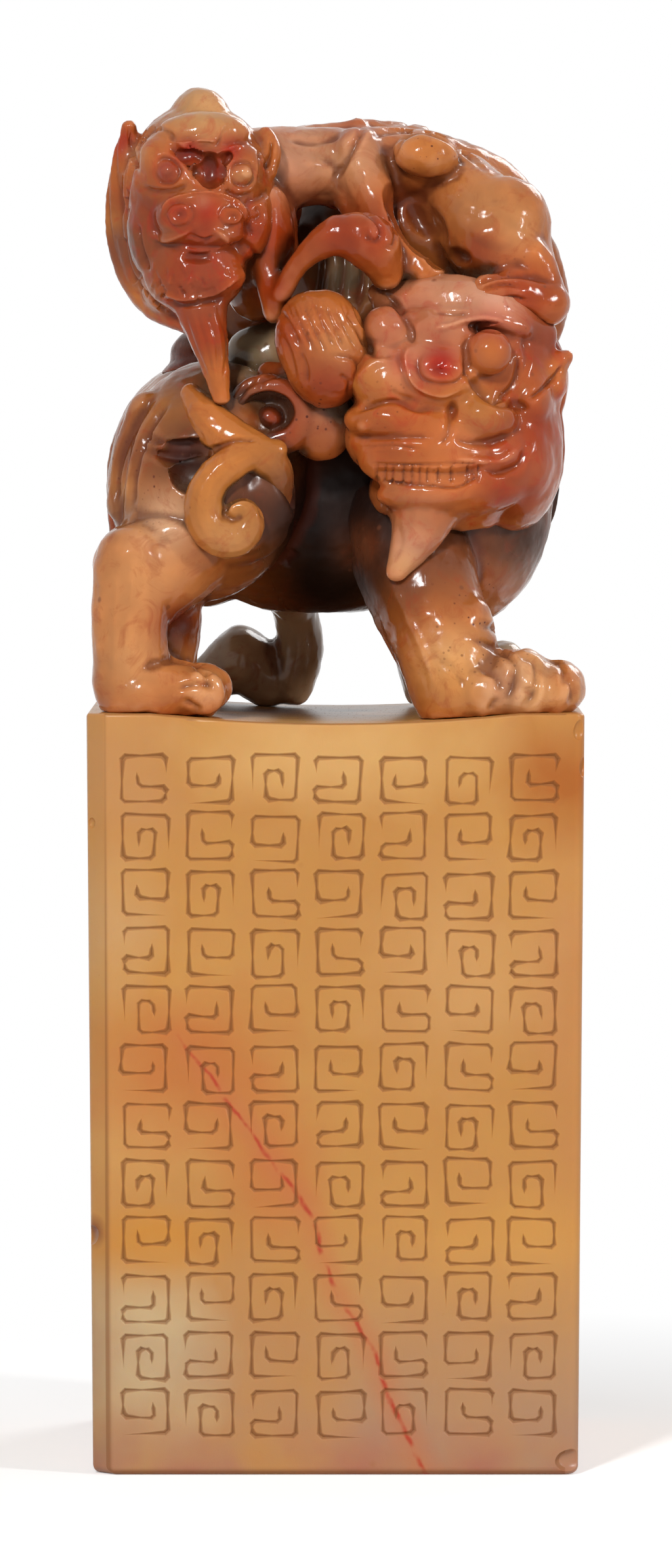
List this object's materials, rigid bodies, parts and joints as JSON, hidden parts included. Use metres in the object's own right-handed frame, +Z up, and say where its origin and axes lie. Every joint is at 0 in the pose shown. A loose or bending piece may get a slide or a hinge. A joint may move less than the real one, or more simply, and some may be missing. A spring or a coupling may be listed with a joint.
{
  "type": "seal stamp",
  "caption": "Square stone seal for stamping ink, with a fret in its printing face and a carved knop of two playing lions as its grip.",
  "frame": {"origin": "centre of the seal's square foot, in the plane of the printing face", "axes": "+Z up, from the printing face to the knop; -Y is the side with the carved columns; +X to the right of that side"},
  "size_m": [0.0322, 0.0322, 0.0903],
  "materials": {
    "honey_stone": "polished, waxy, slightly translucent",
    "amber_stone": "polished, waxy, slightly translucent",
    "red_stone": "polished, waxy, slightly translucent",
    "dark_stone": "waxy, with dust in the recesses"
  },
  "bodies": {
    "root": {"seal_block": "honey_stone", "seal_relief": "honey_stone", "adult_torso": "dark_stone", "adult_chest": "amber_stone", "adult_neck": "dark_stone", "adult_rump": "dark_stone", "near_thigh": "amber_stone", "near_hind_leg": "amber_stone", "near_hind_paw": "amber_stone", "near_foreleg": "amber_stone", "near_fore_paw": "amber_stone", "far_hind_leg": "dark_stone", "far_hind_paw": "dark_stone", "far_foreleg": "dark_stone", "far_fore_paw": "dark_stone", "adult_head": "red_stone", "adult_muzzle": "amber_stone", "adult_jaw": "amber_stone", "adult_beard": "amber_stone", "adult_nose": "red_stone", "adult_eyes": "amber_stone", "adult_brow": "red_stone", "adult_ears": "amber_stone", "adult_teeth": "amber_stone", "adult_mane": "dark_stone", "adult_tail": "dark_stone", "haunch_scroll": "amber_stone", "shoulder_scroll": "amber_stone", "play_ball": "amber_stone", "cub_torso": "amber_stone", "cub_spine": "amber_stone", "cub_chest": "amber_stone", "cub_head": "red_stone", "cub_muzzle": "red_stone", "cub_jaw": "amber_stone", "cub_beard": "amber_stone", "cub_eyes": "amber_stone", "cub_brows": "red_stone", "cub_mane": "amber_stone", "cub_ears": "red_stone", "cub_foreleg": "amber_stone", "cub_leg_tuft": "red_stone", "cub_haunch": "red_stone", "cub_hip_knob": "amber_stone", "cub_hind_paw": "amber_stone", "cub_far_foreleg": "dark_stone", "cub_far_haunch": "dark_stone", "cub_tail": "dark_stone"}
  },
  "joints": []
}
